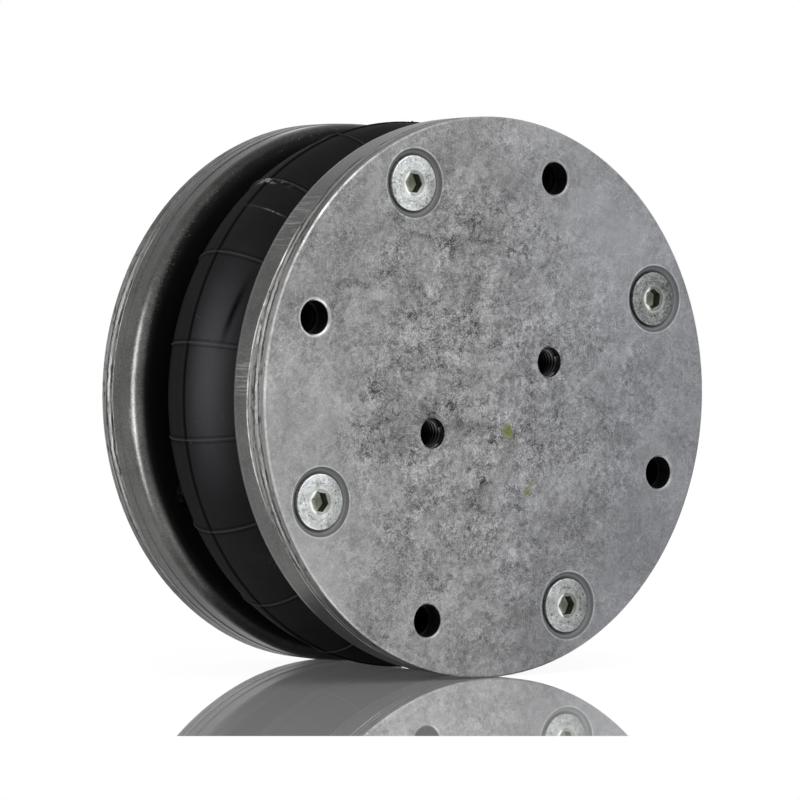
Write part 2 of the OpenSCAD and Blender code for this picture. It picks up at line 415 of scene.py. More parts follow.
def plate_finish():
    material, place, shader = new_finish("mottled_aluminium")
    at, depth, r = place.at, place.depth, place.r
    to_screw, to_hole = place.to_screw(), place.to_hole()
    sideways, upwards = place.sideways(), place.upwards()
    # The mottled face.
    # Painted light: the face is lighter at the far left, where it is also smoother with fewer hairlines, and
    # painted shade darkens it towards the lower right.
    handled_and_lit = rise(sideways, -34 * MM, -58 * MM) * rise(upwards, 30 * MM, -12 * MM)
    polished = rise(apart(sideways, upwards, POLISHED_AT), 30 * MM, 8 * MM)
    shade_lower_right = rise(sideways - upwards, 30 * MM, 85 * MM)
    clouds = grain(at, 24 * MM, detail=6, roughness=0.65, distortion=0.4)
    blotches = grain(at, 5.5 * MM, detail=7, roughness=0.7, distortion=0.4)
    islands = rise(blotches, 0.43, 0.46) * 0.6 + rise(blotches, 0.53, 0.56) * 1.2 - 0.8
    stains = rise(grain(at, 11 * MM, detail=8, roughness=0.72, distortion=0.5), 0.53, 0.58)
    patches = flakes(at, 1.3 * MM)
    plates = flakes(at, 6 * MM)
    speckle = grain(at, 0.5 * MM, detail=2, roughness=0.9)
    pits = most(speckle, 0.435) - 0.5
    flecks = rise(grain(at, 1.2 * MM, detail=4, roughness=0.75), 0.56, 0.62)
    wiped = grain(stretched(at, -PAIR_LEAN, (26 * MM, 6 * MM, 40 * MM)), 1.0, detail=8, roughness=0.72)
    smeared = rise(apart(sideways, upwards, SMEARED_AT), 52 * MM, 20 * MM)
    smears = rise(wiped, 0.5, 0.56) * smeared
    mottled = 1 - rise(r, 42 * MM, 64 * MM) * 0.35 - handled_and_lit * 0.3 - polished * 0.2
    mottled = mottled - rise(sideways, 0.0, 40 * MM) * 0.25
    grainy = mottled * (0.55 + rise(grain(at, 15 * MM, detail=4, roughness=0.7), 0.42, 0.58) * 0.45)
    hairlines = scratches(at, 8 * MM, 0.2 * MM, 0.70) * (1 - handled_and_lit * 0.6)
    dark_lines = cracks(at, 7 * MM, 0.22 * MM)
    tone = 0.235 + (clouds - 0.5) * 0.17 + (pits + (patches - 0.5) * 0.15 + flecks * 0.04) * grainy
    tone = tone + (islands * 0.035 - stains * 0.04 - dark_lines * 0.08 + (plates - 0.5) * 0.10) * mottled
    tone = tone + hairlines * 0.11 - smears * 0.05
    tone = tone * (1 + handled_and_lit * 0.3 + polished * 0.14 - shade_lower_right * 0.12)

    # Edges that are rubbed bright, with a painted highlight along the left of the rim, strongest above the
    # middle, and brighter hole rims at the far left.
    rubbed_and_highlit = near(r, plate_r - 0.28 * MM, 0.38 * MM) * rise(sideways, 10 * MM, -45 * MM)
    rubbed_and_highlit = rubbed_and_highlit * (1.1 + rise(upwards, 10 * MM, 40 * MM) * 0.9)
    rubbed_and_highlit = rubbed_and_highlit * (1 - rise(upwards, 54 * MM, 66 * MM) * 0.9)
    worn_and_lit = rise(grain(place.around(5 * MM, 1.0), 1.0, detail=5, roughness=0.7), 0.35, 0.6)
    rubbed_and_highlit = rubbed_and_highlit * (0.15 + rise(upwards, -34 * MM, -12 * MM) * 0.85) * (0.45 + worn_and_lit * 0.75)
    rubbed_and_highlit = most(rubbed_and_highlit, near(to_screw, COUNTERSINK_R + 0.1 * MM, 0.35 * MM))
    hole_rim = near(to_hole, HOLE_RIM_R, 0.7 * MM)
    rubbed_and_highlit = most(rubbed_and_highlit, hole_rim * (0.35 + rise(sideways, -46 * MM, -60 * MM) * 1.9))
    tone = tone + rubbed_and_highlit * grain(at, 3 * MM) * 0.26
    tapped = rise(place.to_tapped(), TAPPED_RIM_R + 0.4 * MM, TAPPED_RIM_R)
    tone = tone * (1 - near(place.to_tapped(), TAPPED_RIM_R, 0.5 * MM) * 0.25)

    # The turned rim, the bores and the seats of the screws.
    edge = rise(depth, 0.3 * MM, 0.7 * MM) * rise(r, plate_r - 0.9 * MM, plate_r - 0.5 * MM)
    tone = tone * (1 - edge) + edge_tone(place) * edge
    # The bores are painted dark as shade, less so in the tapped holes.
    recess_shade = rise(depth, 0.2 * MM, 0.9 * MM) * rise(r, plate_r - 1.2 * MM, plate_r - 1.6 * MM)
    countersunk = rise(to_screw, COUNTERSINK_R, COUNTERSINK_R - 0.2 * MM)
    tone = tone * (1 - recess_shade * (0.72 - tapped * 0.3) * (1 - countersunk))
    turned_rings = near(to_screw, 8.3 * MM, 0.3 * MM) * 0.05 - near(to_screw, 8.85 * MM, 0.3 * MM) * 0.045
    seat_edge = near(to_screw, COUNTERSINK_R - 0.2 * MM, 0.55 * MM)
    seat_tone = 0.13 + speckle * 0.08 - seat_edge * 0.06 + turned_rings
    tone = tone * (1 - countersunk) + seat_tone * countersunk

    # Colour, with three specks of paint.
    tint = mixed((1.0, 1.0, 1.005, 1), (0.985, 1.0, 1.055, 1), rise(sideways, -25 * MM, 55 * MM))
    tint = mixed(tint, (1.02, 1.0, 0.98, 1), edge)
    colour = tinted(most(tone, 0.02), tint)
    top_side = rise(place.z, height - 0.3 * MM, height - 0.1 * MM)
    for (right, up), size in PAINT_SPECKS:
        spot = photo_right * right * MM + photo_up * up * MM
        ragged = apart(place.x, place.y, spot) + (grain(at, 2.4 * MM, detail=5, roughness=0.7) - 0.5) * 5 * MM
        crumbly = rise(grain(at, 1.1 * MM, detail=3), 0.25, 0.45)
        mask = rise(ragged, size * MM, size * MM * 0.5) * top_side * crumbly
        olive = mixed((0.04, 0.047, 0.01, 1), (0.25, 0.27, 0.05, 1), grain(at, 0.9 * MM, detail=3))
        colour = mixed(colour, olive, mask * (0.3 + size * 0.23))

    roughness = 0.42 + (clouds - 0.5) * 0.3 + stains * 0.06 - rubbed_and_highlit * 0.08 + countersunk * 0.25
    relief = clouds * 0.4 + speckle * 0.4 + patches * 0.1 - dark_lines * 0.3
    connect(place, shader, Base_Color=colour, Metallic=1 - countersunk * 0.5, Roughness=roughness)
    connect(place, shader, Normal=bumped(place, relief, 0.12 * MM, 0.5))
    return material


print("plate finish ready")

# %% [markdown]
# ## Bead ring
# Each ring is a rougher casting. Beside the seam a lathe has cleaned up a narrow band whose border wanders,
# because the casting isn't quite round. The wall keeps its sand texture with a few file marks. Painted
# shade darkens it towards the top and bottom, painted highlights lie in a strip on the wall and along the
# band's border, and painted glints lie on the sand near the mouth. The flared mouth towards the rubber is
# painted almost black as shade.

# %% Ring finish
HIGHLIGHT_STRIP_ANGLE = 1.36
CHATTER_ANGLES = (2.03, 2.62)
BARE_ANGLE = 2.45
WIDE_BAND_ANGLE = 2.75


def ring_finish():
    material, place, shader = new_finish("cast_aluminium_ring")
    at, depth, r = place.at, place.depth, place.r
    sand = grain(at, 0.7 * MM, detail=4, roughness=0.8)
    clouds = grain(at, 14 * MM, detail=6, roughness=0.75)
    sparks = rise(grain(at, 0.55 * MM, detail=2), 0.64, 0.72)
    upwards = place.upwards()
    # The cast wall, darker where the photograph has no light.
    top_side = rise(place.z, height / 2, height / 2 + MM)
    base_side = 1 - top_side
    shaded = 1 - rise(upwards, -5 * MM, 60 * MM) * 0.4
    darker = rise(upwards, -35 * MM, -55 * MM) * 0.35 + rise(upwards, 45 * MM, 68 * MM) * 0.2
    shaded = shaded - base_side * darker
    cast_tone = (0.092 + (clouds - 0.5) * 0.13 + (sand - 0.5) * 0.16 + sparks * 0.06) * shaded
    # A painted highlight strip on the wall of the base ring, high on one side.
    highlight_strip = near(depth, 10.2 * MM, 2.4 * MM) * near(place.angle, HIGHLIGHT_STRIP_ANGLE, 0.17) * base_side
    cast_tone = cast_tone + highlight_strip * 0.45

    # File marks across the wall.
    chatter = rise(grain(place.around(0.45 * MM, 9 * MM), 1.0, detail=1), 0.5, 0.7)
    wide, narrow = CHATTER_ANGLES
    chattered = most(near(place.angle, wide, 0.2), near(place.angle, narrow, 0.12)) * top_side
    cast_tone = cast_tone + chatter * chattered * 0.12

    # The turned band beside the seam.
    outside = rise(r, plate_r - 1.0 * MM, plate_r - 0.6 * MM)
    waves = (grain(place.around(20 * MM, 1.0), 1.0, detail=5) - 0.5) * 2.0 * MM
    border = 5.5 * MM + near(place.angle, WIDE_BAND_ANGLE, 0.65) * top_side * 2.4 * MM + waves
    band = rise(depth - border, 0.2 * MM, -0.2 * MM) * outside
    # A painted highlight along the band's wandering border, fading out towards the top and bottom.
    lip_highlight = near(depth - border, 0.0, 0.4 * MM) * outside
    lip_highlight = lip_highlight * rise(upwards, 48 * MM, 34 * MM) * rise(upwards - base_side * 16 * MM, -38 * MM, -12 * MM)
    flecked = rise(grain(place.around(6 * MM, 1.0), 1.0, detail=5, roughness=0.7), 0.36, 0.6)
    tone = cast_tone * (1 - band) + (edge_tone(place) + 0.02) * band + lip_highlight * (0.1 + flecked * 0.5)
    bare = rise(grain(place.around(4 * MM, 1.6 * MM), 1.0, detail=4, roughness=0.7), 0.55, 0.62)
    tone = tone + bare * band * near(place.angle, BARE_ANGLE, 0.25) * top_side * 0.22

    # The mouth, painted almost black as shade, reaching further out towards the top of the base ring.
    shade_reach = rise(upwards, 5 * MM, 45 * MM) * base_side
    mouth = rise(r - shade_reach * 0.9 * MM, plate_r - 1.4 * MM, plate_r - 3.4 * MM)
    mouth_shade = mouth * rise(depth, 5.6 * MM, 6.4 * MM)
    # The mounting holes are painted dark as shade.
    hole_shade = rise(place.to_hole(), HOLE_RIM_R, HOLE_RIM_R - 0.3 * MM)
    tone = tone * (1 - mouth_shade * 0.97) * (1 - hole_shade * 0.6)
    # Painted glints on the sand grains beside the mouth of the base ring, fading out below the middle.
    grain_glints = rise(grain(at, 0.5 * MM, detail=4, roughness=0.8), 0.54, 0.7) * rise(clouds, 0.38, 0.56)
    glint_zone = near(r, plate_r - 2.0 * MM, 2.2 * MM) * rise(depth, 5.6 * MM, 7 * MM) * base_side
    tone = tone + grain_glints * glint_zone * rise(upwards, -15 * MM, 25 * MM) * 0.13
    shoulder = rise(r, plate_r - 0.3 * MM, plate_r - 0.9 * MM)
    roughness = 0.28 + sand * 0.08 + band * 0.04 + mouth_shade * 0.4
    relief = sand * (1 - band * 0.7) * (1 - shoulder * 0.6)
    connect(place, shader, Base_Color=grey(most(tone, 0.003), (1.01, 1.0, 0.98)), Metallic=1.0 - mouth_shade)
    connect(place, shader, Roughness=roughness, Normal=bumped(place, relief, 0.14 * MM, 0.42))
    connect(place, shader, Specular_IOR_Level=0.1)
    return material


print("ring finish ready")

# %% [markdown]
# ## Plated screws, wire, cord and rubber
# The screws have a pale, slightly green zinc coat that is grainy close up. The rubber is black with a
# satin mould skin: dusty in places, with pale scuffs where something rubbed along it. Cord and bead wire
# are inside and only show on a cut-open bellows, so theirs are plain weaves and drawn lines.

# %% Small finishes
RIB_COUNT = 18
RIB_PHASE = math.radians(3.7)
SECTOR = 2 * math.pi / RIB_COUNT
VENT_ANGLE = 1.951
SHEEN_ANGLE = 2.6
CHAFE_ANGLE = 1.82
STREAK_ANGLE = 2.37


def zinc_finish():
    material, place, shader = new_finish("zinc_plated_steel")
    at, out = place.at, place.to_screw()
    crystals = grain(at, 1.1 * MM, detail=5, roughness=0.85)
    patches = grain(at, 4 * MM, detail=3)
    pits = rise(grain(at, 0.6 * MM, detail=2), 0.58, 0.66)
    flecks = rise(grain(at, 0.9 * MM, detail=3), 0.58, 0.66)
    sideways = place.sideways()
    right_of = place.from_screw()
    stamped = rise(out, 3.6 * MM, 4.4 * MM)
    tone = 0.52 + (crystals - 0.5) * 0.6 + (patches - 0.5) * 0.5
    tone = tone + ((crystals - 0.5) * 0.6 - pits * 0.26 + flecks * 0.22) * stamped
    tarnished = stamped * rise(sideways, 34 * MM, 52 * MM)
    tone = tone * (1 - tarnished * 0.3) + (crystals - 0.5) * tarnished * 0.8
    # Painted shade: the heads darker towards the right and each head darker on its right side, and the shank
    # painted dark below the head.
    tone = tone * (1 - rise(sideways, -30 * MM, 50 * MM) * 0.45) * (1 - rise(right_of, 0.0, 7.5 * MM) * 0.35)
    tone = tone * (1 - rise(place.depth, 6 * MM, 8 * MM) * 0.85)
    # The lead-in is darker, with a painted highlight on its left side.
    lead_in = rise(out, 3.6 * MM, 3.3 * MM)
    tone = tone * (1 - lead_in * 0.5) + lead_in * rise(right_of, -0.8 * MM, -1.8 * MM) * 0.6
    # Painted shade: the socket is dark olive; its drill-point floor has a faint lighter tone and a painted
    # lit patch at the left, broken by the crystals.
    inside = rise(out, 2.95 * MM, 2.75 * MM) * rise(place.depth, 0.6 * MM, 1.0 * MM)
    tint = mixed((0.97, 1.0, 0.95, 1), (0.95, 1.0, 1.03, 1), stamped * patches)
    point = rise(place.depth, 3.0 * MM, 3.4 * MM)
    worn_and_lit = point * (0.12 + rise(right_of, 1.3 * MM, 0.2 * MM) * rise(crystals, 0.35, 0.6) * 0.88)
    socket_colour = mixed((0.11, 0.117, 0.085, 1), (0.60, 0.62, 0.56, 1), worn_and_lit)
    colour = mixed(tinted(most(tone, 0.05), tint), socket_colour, inside)
    connect(place, shader, Base_Color=colour, Metallic=1.0, Roughness=0.28 + crystals * 0.25)
    connect(place, shader, Normal=bumped(place, crystals, 0.08 * MM, 0.7))
    return material


def rubber_finish():
    material, place, shader = new_finish("moulded_rubber", bends=True)
    at = place.at
    skin = grain(at, 0.5 * MM, detail=3)
    dust = grain(at, 16 * MM, detail=5, roughness=0.65)
    dots = rise(grain(at, 0.8 * MM, detail=0), 0.88, 0.9)
    scuffs = scratches(at, 12 * MM, 0.5 * MM, 0.73) * rise(dust, 0.5, 0.62)
    above = place.z - height / 2
    turns = (place.angle - RIB_PHASE) / SECTOR + RIB_COUNT + 0.5
    from_rib = abs(turns.math("FRACT", turns) - 0.5) * SECTOR * place.r
    vent = near(place.angle, VENT_ANGLE, 0.005) * rise(above, -1 * MM, 0.0)
    # Rib crests are lighter, partly from wear and partly as painted highlight; painted shadow darkens their
    # feet and a line just above the equator; the vent line is lighter.
    crest = near(from_rib, 0.0, 0.35 * MM) + near(above, -0.3 * MM, 0.4 * MM) * 0.5 + vent * 0.6
    foot = most(near(from_rib, 0.8 * MM, 0.4 * MM) * 0.5, near(above, 0.7 * MM, 0.8 * MM))
    # A painted sheen on the flank above the equator, at one side.
    painted_sheen = near(above, 9 * MM, 9 * MM) * near(place.angle, SHEEN_ANGLE, 0.55)
    ragged = rise(grain(at, 2.5 * MM, detail=4, roughness=0.7), 0.46, 0.56)
    chafed = near(place.angle, CHAFE_ANGLE, 0.018) * near(above, 1.5 * MM, 9 * MM) * ragged
    chafed = most(chafed, vent * near(above, 10 * MM, 4 * MM) * ragged * 0.6)
    # A dark diagonal streak on the flank.
    dark_streak = near(above + place.angle * 7.6 * MM, 30.5 * MM, 1.3 * MM) * near(place.angle, STREAK_ANGLE, 0.2)
    dark_streak = dark_streak * rise(dust + skin * 0.4, 0.5, 0.7)
    # Painted shade below the equator.
    far_side = 1 - rise(above, 0.5 * MM, -3 * MM) * 0.3
    tone = (0.005 + dust * 0.006 + painted_sheen * 0.022 + dots * 0.03 + scuffs * 0.015) * far_side
    tone = tone * (1 - foot * 0.85) * (1 - dark_streak * 0.9) + crest * 0.016 + chafed * 0.16
    roughness = 0.45 + dust * 0.2 + dark_streak * 0.3 + foot * 0.3
    connect(place, shader, Base_Color=grey(tone, (1.0, 0.97, 1.05)), Roughness=roughness)
    connect(place, shader, Specular_IOR_Level=0.01)
    connect(place, shader, Normal=bumped(place, skin, 0.03 * MM, 0.35))
    return material


def cord_finish():
    material, place, shader = new_finish("rubberised_cord", bends=True)
    cords = place.tree.math("SINE", (place.angle * plate_r + place.z * 0.7) / (0.16 * MM))
    tone = 0.30 + cords * 0.07
    connect(place, shader, Base_Color=grey(tone, (1.0, 0.88, 0.62)), Roughness=0.85)
    connect(place, shader, Normal=bumped(place, cords, 0.1 * MM))
    return material


def wire_finish():
    material, place, shader = new_finish("drawn_wire")
    drawn = grain(place.around(20 * MM, 0.1 * MM), 1.0, detail=2)
    connect(place, shader, Base_Color=grey(0.24 + drawn * 0.2, (1.0, 0.93, 0.76)), Metallic=1.0)
    connect(place, shader, Roughness=0.3 + drawn * 0.15)
    return material


finishes = {
    "plate_aluminium": plate_finish(),
    "ring_aluminium": ring_finish(),
    "zinc_steel": zinc_finish(),
    "bead_steel": wire_finish(),
    "liner_rubber": rubber_finish(),
    "cord": cord_finish(),
}
finishes["cover_rubber"] = finishes["liner_rubber"]
slot_of = {row["node"]: row["material_slot"] for row in frame["record"]["subparts"]}
for name, solid in frame["nodes"].items():
    solid.data.materials.clear()
    solid.data.materials.append(finishes[slot_of[name]])
print(f"{len(set(finishes.values()))} finishes on {len(slot_of)} solids")

# %% [markdown]
# ## Drawing a section with one vertex
# A bellows layer is a body of revolution, so only its section has to be drawn. One vertex is the pen:
# extrude draws a straight line with it, and spin about a centre draws an arc. Spinning the whole section
# about the stroke axis then makes the layer.

# %% The pen


def put_pen(name, point):
    """A new piece that is one vertex at a point, in edit mode and selected."""
    bpy.ops.object.select_all(action="DESELECT")
    bpy.ops.mesh.primitive_plane_add(size=MM, location=point)
    piece = bpy.context.object
    piece.name = name
    piece.data.name = name
    bpy.ops.object.transform_apply(location=True)
    bpy.ops.object.mode_set(mode="EDIT")
    bpy.ops.mesh.select_mode(type="VERT")
    bpy.ops.mesh.select_all(action="SELECT")
    bpy.ops.mesh.merge(type="CENTER")
    return piece


def draw_line(start, end):
    """Draws on to a point and returns it as the pen's new place."""
    bpy.ops.mesh.extrude_region_move(TRANSFORM_OT_translate={"value": end - start})
    return end


def draw_arc(start, centre, turn, steps):
    """Draws round a centre in the plane of X and Z, from X towards Z where the turn is positive."""
    bpy.ops.mesh.spin(steps=steps, angle=turn, center=centre, axis=(0, 1, 0))
    return centre + Matrix.Rotation(-turn, 3, "Y") @ (start - centre)


print("pen ready")

# %% [markdown]
# ## The wall of the bellows
# Every layer of the wall follows the same line at its own depth: a big arc over the equator, a straight
# flank, and a small arc round the throat of the bead ring. The layers are cut into four bands at fixed
# heights.

# %% Sizes of the wall
mid = height / 2
throat_r = 53.5 * MM
throat_round = 5.0 * MM
WRAP_GAP = 0.2 * MM
wrap_r = throat_round + WRAP_GAP
FLANK = math.radians(55.6)
throat_z = 29.46 * MM
bead_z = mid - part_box("bellows_cover")[0].z
rib_h = 0.35 * MM
rib_w = 0.9 * MM
rib_end_z = 24.0 * MM
equator_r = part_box("bellows_cover")[1].x - rib_h
throat_x = throat_r + throat_round
arc_rise = throat_z * math.sin(FLANK) + (throat_x - equator_r) * math.cos(FLANK) - wrap_r
bulge_r = arc_rise / (1 - math.cos(FLANK))
bulge_x = equator_r - bulge_r
CUT_Z = 8.0 * MM
print(f"equator radius {equator_r / MM:.2f} mm, bulge radius {bulge_r / MM:.2f} mm")
print(f"beads {bead_z / MM:.1f} mm above and below the equator")

# %% Sections of the bands
SEAM_TURN = math.radians(0.3)
BULGE_STEPS = 9
FLANK_STEPS = 12
THROAT_STEPS = 8


def point(x, z, side):
    """A point of the section at a height above (side 1) or below (side -1) the equator."""
    return Vector((x, 0, mid + side * z))


def on_bulge(depth, turn, side):
    reach = bulge_r - depth
    return point(bulge_x + reach * math.cos(turn), reach * math.sin(turn), side)


def on_throat(depth, turn, side):
    reach = wrap_r + depth
    return point(throat_x - reach * math.cos(turn), throat_z - reach * math.sin(turn), side)


def cut_turn(depth):
    """Angle above the equator at which a depth of the wall meets the cut between two bands."""
    return math.asin(CUT_Z / (bulge_r - depth))


def draw_middle(name, depth, thickness, side, rib):
    """Closed section of a middle band, from the equator to the cut."""
    outer, inner = cut_turn(depth), cut_turn(depth + thickness)
    centre = point(bulge_x, 0, side)
    start = on_bulge(depth - rib, 0, side)
    foot = math.asin(rib_w / 2 / bulge_r) if rib else SEAM_TURN
    piece = put_pen(name, start)
    pen = draw_line(start, on_bulge(depth, foot, side))
    pen = draw_arc(pen, centre, side * (outer - SEAM_TURN - foot), BULGE_STEPS)
    pen = draw_arc(pen, centre, side * SEAM_TURN, 1)
    pen = draw_line(pen, on_bulge(depth + thickness, inner, side))
    pen = draw_arc(pen, centre, -side * inner, BULGE_STEPS)
    draw_line(pen, start)
    return piece


def draw_outer(name, depth, thickness, side, bead_outer, bead_inner):
    """Closed section of an outer band, from the cut over the flank into the bead."""
    outer, inner = cut_turn(depth), cut_turn(depth + thickness)
    bulge, throat = point(bulge_x, 0, side), point(throat_x, throat_z, side)
    start = on_bulge(depth, outer, side)
    piece = put_pen(name, start)
    pen = draw_arc(start, bulge, side * SEAM_TURN, 1)
    pen = draw_arc(pen, bulge, side * (FLANK - outer - SEAM_TURN), FLANK_STEPS)
    pen = draw_line(pen, pen.lerp(on_throat(depth, FLANK, side), 0.5))
    pen = draw_line(pen, on_throat(depth, FLANK, side))
    pen = draw_arc(pen, throat, -side * FLANK, THROAT_STEPS)
    for x, z in bead_outer + bead_inner:
        pen = draw_line(pen, point(x, z, side))
    pen = draw_line(pen, on_throat(depth + thickness, 0, side))
    pen = draw_arc(pen, throat, side * FLANK, THROAT_STEPS)
    pen = draw_line(pen, on_bulge(depth + thickness, FLANK, side))
    pen = draw_arc(pen, bulge, -side * (FLANK - inner), FLANK_STEPS)
    draw_line(pen, start)
    return piece


print("sections ready")

# %% [markdown]
# ## Spinning the section, with mould ribs
# Vents in the mould leave eighteen fine ribs from end to end. The cover's section is therefore spun in
# uneven steps: two narrow ones over each rib, then wide ones to the next. The column in the middle of each
# rib is then pushed out from the centre of the big arc, which raises a ridge.

# %% Spin and ribs
RIB_TURN = rib_w / 2 / equator_r
FIELD_STEPS = 9
PLAIN_STEPS = 90
MERGE_GAP = 0.002 * MM
SMOOTH_ANGLE = math.radians(30)
ON_COLUMN = 0.02 * MM
SKIN_DEPTH = 0.3 * MM


def spin_round(turn, steps):
    bpy.ops.mesh.spin(steps=steps, angle=turn, center=(0, 0, 0), axis=(0, 0, -1))


def close_up(piece):
    """Merges the seam, turns the faces outwards and smooths the piece."""
    bpy.ops.mesh.select_all(action="SELECT")
    bpy.ops.mesh.remove_doubles(threshold=MERGE_GAP)
    bpy.ops.mesh.normals_make_consistent(inside=False)
    bpy.ops.object.mode_set(mode="OBJECT")
    bpy.ops.object.shade_smooth_by_angle(angle=SMOOTH_ANGLE)
    return piece


def select_where(piece, test):
    """Selects the vertices whose place passes a test, in edit mode."""
    bpy.ops.mesh.select_all(action="DESELECT")
    bpy.ops.object.mode_set(mode="OBJECT")
    for vertex in piece.data.vertices:
        vertex.select = test(vertex.co)
    bpy.ops.object.mode_set(mode="EDIT")


def turned(vector, angle):
    return Matrix.Rotation(angle, 3, "Z") @ vector


def raise_ribs(piece):
    """Pushes the middle column of each rib out, where it lies on the outer surface."""
    grow = 1 + rib_h / bulge_r
    for number in range(RIB_COUNT):
        azimuth = RIB_PHASE + number * SECTOR
        across = turned(Vector((0, 1, 0)), azimuth)
        out = turned(Vector((1, 0, 0)), azimuth)
        centre = out * bulge_x + Vector((0, 0, mid))

        def on_rib(place):
            flat = place - centre
            on_column = abs(place.dot(across)) < ON_COLUMN and place.dot(out) > 0
            skin = flat.length > bulge_r - SKIN_DEPTH and flat.dot(out) > 0
            return on_column and skin and abs(place.z - mid) < rib_end_z

        select_where(piece, on_rib)
        bpy.ops.transform.resize(value=(grow, grow, grow), center_override=centre)


def spin_band(piece, ribbed):
    """Spins a section right round and finishes the band."""
    bpy.ops.mesh.select_all(action="SELECT")
    if not ribbed:
        spin_round(2 * math.pi, PLAIN_STEPS)
        return close_up(piece)
    bpy.ops.transform.rotate(value=-(RIB_PHASE - RIB_TURN), orient_axis="Z", center_override=(0, 0, 0))
    for number in range(RIB_COUNT):
        spin_round(RIB_TURN, 1)
        spin_round(RIB_TURN, 1)
        spin_round(SECTOR - 2 * RIB_TURN, FIELD_STEPS)
    close_up(piece)
    bpy.ops.object.mode_set(mode="EDIT")
    raise_ribs(piece)
    return close_up(piece)


print(f"{RIB_COUNT} ribs, one every {math.degrees(SECTOR):.0f} degrees")

# %% The four layers
LAYERS = {
    "bellows_cover": (0.0, 1.4 * MM),
    "outer_cord_ply": (1.5 * MM, 0.7 * MM),
    "inner_cord_ply": (2.3 * MM, 0.7 * MM),
    "inner_liner": (3.1 * MM, 1.3 * MM),
}
TOE_R = 45.6 * MM
TOE_Z = bead_z - 2.0 * MM
SEAT_R = 57.1 * MM
GRIP_Z = 25.5 * MM
BANDS = {
    "lower_flank": (-1, "base_end", "bellows_foot", -GRIP_Z, -CUT_Z),
    "lower_middle": (-1, "bellows_foot", "bellows_middle", -CUT_Z, 0.0),
    "upper_middle": (1, "bellows_middle", "bellows_head", 0.0, CUT_Z),
    "upper_flank": (1, "bellows_head", "top_end", CUT_Z, GRIP_Z),
}


def bead_points(node, depth, thickness):
    """The two lines of a layer's section inside the bead: its outer end and its inner end."""
    neck = throat_r - WRAP_GAP - depth
    outer = [(SEAT_R, bead_z)] if node == "bellows_cover" else [(neck, bead_z)]
    if node == "inner_liner":
        return outer, [(TOE_R, bead_z), (TOE_R, TOE_Z)]
    return outer, [(neck - thickness, bead_z)]


made = 0
for node, (depth, thickness) in LAYERS.items():
    ribbed = node == "bellows_cover"
    for band, (side, first, second, start, end) in BANDS.items():
        name = f"{node}_{band}"
        if band.endswith("middle"):
            piece = draw_middle(name, depth, thickness, side, rib_h if ribbed else 0.0)
        else:
            piece = draw_outer(name, depth, thickness, side, *bead_points(node, depth, thickness))
        spin_band(piece, ribbed)
        keep_rest_places(piece)
        piece.data.materials.append(finishes[slot_of[node]])
        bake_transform(piece)
        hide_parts(node)
        made += 1
print(f"{made} bands of rubber and cord")

# %% [markdown]
# ## Clamp screws
# A forged screw has no sharp edges: the rim of its head is rolled round, a fine turned line runs round the
# face, and the socket has a small lead-in. The section is drawn with the pen and spun, then a hexagon is
# sunk into the open middle and bridged to the face. Its floor ends in the cone of the drill that went in
# first. One screw is modelled and copied to the eight places.

# %% Screws
screw_low, screw_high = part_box("top_clamp_screw_1")
head_r = (screw_high.y - screw_low.y) / 2
head_drop = height - screw_high.z
screw_len = screw_high.z - screw_low.z
shank_r = 4.0 * MM
HEAD_LAND = 1.42 * MM
HEAD_ROUND = 0.45 * MM
FACE_LINE_R = 4.9 * MM
FACE_LINE = 0.14 * MM
SOCKET_R = 2.5 * MM / math.cos(math.radians(30))
SOCKET_LAND = 0.45 * MM
SOCKET_DEPTH = 3.0 * MM
LEAD_IN = 0.25 * MM
DRILL_POINT = 1.3 * MM
TIGHTENED = (0, 0, 24, 8)
SCREW_STEPS = 60
ROUND_STEPS = 6


def forged_screw(name):
    """A countersunk socket screw on the stroke axis, its face at height 0 and its shank below."""
    face = [(SOCKET_R + SOCKET_LAND, 0), (FACE_LINE_R - FACE_LINE, 0), (FACE_LINE_R, -FACE_LINE),
            (FACE_LINE_R + FACE_LINE, 0), (head_r - HEAD_ROUND, 0)]
    body = [(head_r, -HEAD_LAND), (shank_r, -HEAD_LAND - head_r + shank_r), (shank_r, -screw_len + MM),
            (shank_r - MM, -screw_len), (0, -screw_len)]
    pen = Vector((face[0][0], 0, 0))
    piece = put_pen(name, pen)
    for x, z in face[1:]:
        pen = draw_line(pen, Vector((x, 0, z)))
    pen = draw_arc(pen, Vector((head_r - HEAD_ROUND, 0, -HEAD_ROUND)), -math.pi / 2, ROUND_STEPS)
    for x, z in body:
        pen = draw_line(pen, Vector((x, 0, z)))
    bpy.ops.mesh.select_all(action="SELECT")
    spin_round(2 * math.pi, SCREW_STEPS)
    bpy.ops.mesh.select_all(action="SELECT")
    bpy.ops.mesh.remove_doubles(threshold=MERGE_GAP)
    bpy.ops.mesh.select_all(action="DESELECT")
    hexagon = {"vertices": 6, "radius": SOCKET_R, "location": (0, 0, -LEAD_IN)}
    bpy.ops.mesh.primitive_circle_add(rotation=(0, 0, math.radians(30)), **hexagon)
    sink = {"value": (0, 0, LEAD_IN - SOCKET_DEPTH)}
    bpy.ops.mesh.extrude_edges_move(TRANSFORM_OT_translate=sink)
    bpy.ops.mesh.edge_face_add()
    bpy.ops.mesh.poke()
    floor_centre = Vector((0, 0, -SOCKET_DEPTH))
    select_where(piece, lambda place: (place - floor_centre).length < 0.1 * MM)
    bpy.ops.transform.translate(value=(0, 0, -DRILL_POINT))
    bpy.ops.mesh.select_all(action="DESELECT")
    bpy.ops.mesh.select_non_manifold(extend=False)
    bpy.ops.mesh.bridge_edge_loops()
    return close_up(piece)


def pick(piece):
    bpy.ops.object.select_all(action="DESELECT")
    piece.select_set(True)
    bpy.context.view_layer.objects.active = piece


